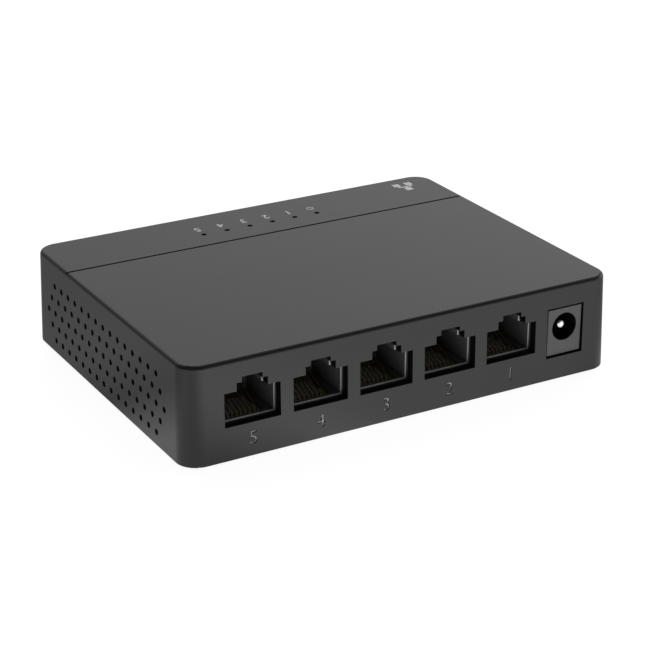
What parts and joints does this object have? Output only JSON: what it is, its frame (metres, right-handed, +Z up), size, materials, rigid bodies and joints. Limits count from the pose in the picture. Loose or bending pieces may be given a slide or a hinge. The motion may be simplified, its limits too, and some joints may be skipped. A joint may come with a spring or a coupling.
{
  "type": "desktop network switch",
  "caption": "Low black plastic box with a row of stepped network sockets and a round power socket along one side, vent holes in its ends and lamp holes in its roof.",
  "frame": {"origin": "midway under the four feet, on the surface that the switch stands on", "axes": "+X to the right along the socket face, -Y out of the socket face, +Z up"},
  "size_m": [0.1056, 0.0794, 0.0228],
  "materials": {
    "case_plastic": "fine matt moulded black plastic",
    "socket_plastic": "satin black moulded plastic",
    "foot_rubber": "matt black rubber",
    "board_laminate": "green solder mask over glass laminate",
    "bright_steel": "bright plated steel",
    "gold_contact": "gold-plated spring wire",
    "chip_resin": "dark moulded resin",
    "can_aluminium": "drawn aluminium can",
    "ferrite": "pressed ferrite powder",
    "guide_clear": "clear moulded plastic, smoked",
    "lamp_lens": "pale lamp resin"
  },
  "bodies": {
    "case": {"top_cover": "case_plastic", "bottom_cover": "case_plastic", "circuit_board": "board_laminate", "board_screw_1": "bright_steel", "board_screw_2": "bright_steel", "foot_1": "foot_rubber", "foot_2": "foot_rubber", "foot_3": "foot_rubber", "foot_4": "foot_rubber", "port_1_housing": "socket_plastic", "port_1_contact_carrier": "socket_plastic", "port_1_transformer": "chip_resin", "port_2_housing": "socket_plastic", "port_2_contact_carrier": "socket_plastic", "port_2_transformer": "chip_resin", "port_3_housing": "socket_plastic", "port_3_contact_carrier": "socket_plastic", "port_3_transformer": "chip_resin", "port_4_housing": "socket_plastic", "port_4_contact_carrier": "socket_plastic", "port_4_transformer": "chip_resin", "port_5_housing": "socket_plastic", "port_5_contact_carrier": "socket_plastic", "port_5_transformer": "chip_resin", "power_socket_housing": "socket_plastic", "power_socket_pin": "bright_steel", "switch_chip": "chip_resin", "clock_crystal": "bright_steel", "power_inductor": "ferrite", "voltage_regulator": "chip_resin", "capacitor_1": "can_aluminium", "capacitor_2": "can_aluminium", "light_guide": "guide_clear", "lamp_power": "lamp_lens", "lamp_1": "lamp_lens", "lamp_2": "lamp_lens", "lamp_3": "lamp_lens", "lamp_4": "lamp_lens", "lamp_5": "lamp_lens"},
    "port_1_springs": {"port_1_contacts": "gold_contact"},
    "port_2_springs": {"port_2_contacts": "gold_contact"},
    "port_3_springs": {"port_3_contacts": "gold_contact"},
    "port_4_springs": {"port_4_contacts": "gold_contact"},
    "port_5_springs": {"port_5_contacts": "gold_contact"},
    "power_socket_leaf": {"power_socket_spring": "bright_steel"}
  },
  "joints": [
    {"name": "port_1_press", "type": "hinge", "parent": "case", "child": "port_1_springs", "pos_m": [0.02581, -0.0351, 0.00808], "axis": [-1, 0, 0], "range_deg": [0, 12], "stiffness_Nm_per_rad": 0.3},
    {"name": "port_2_press", "type": "hinge", "parent": "case", "child": "port_2_springs", "pos_m": [0.01003, -0.0351, 0.00808], "axis": [-1, 0, 0], "range_deg": [0, 12], "stiffness_Nm_per_rad": 0.3},
    {"name": "port_3_press", "type": "hinge", "parent": "case", "child": "port_3_springs", "pos_m": [-0.00575, -0.0351, 0.00808], "axis": [-1, 0, 0], "range_deg": [0, 12], "stiffness_Nm_per_rad": 0.3},
    {"name": "port_4_press", "type": "hinge", "parent": "case", "child": "port_4_springs", "pos_m": [-0.02153, -0.0351, 0.00808], "axis": [-1, 0, 0], "range_deg": [0, 12], "stiffness_Nm_per_rad": 0.3},
    {"name": "port_5_press", "type": "hinge", "parent": "case", "child": "port_5_springs", "pos_m": [-0.03731, -0.0351, 0.00808], "axis": [-1, 0, 0], "range_deg": [0, 12], "stiffness_Nm_per_rad": 0.3},
    {"name": "power_leaf_press", "type": "hinge", "parent": "case", "child": "power_socket_leaf", "pos_m": [0.04002, -0.02715, 0.00882], "axis": [1, 0, 0], "range_deg": [0, 6], "stiffness_Nm_per_rad": 0.17}
  ]
}
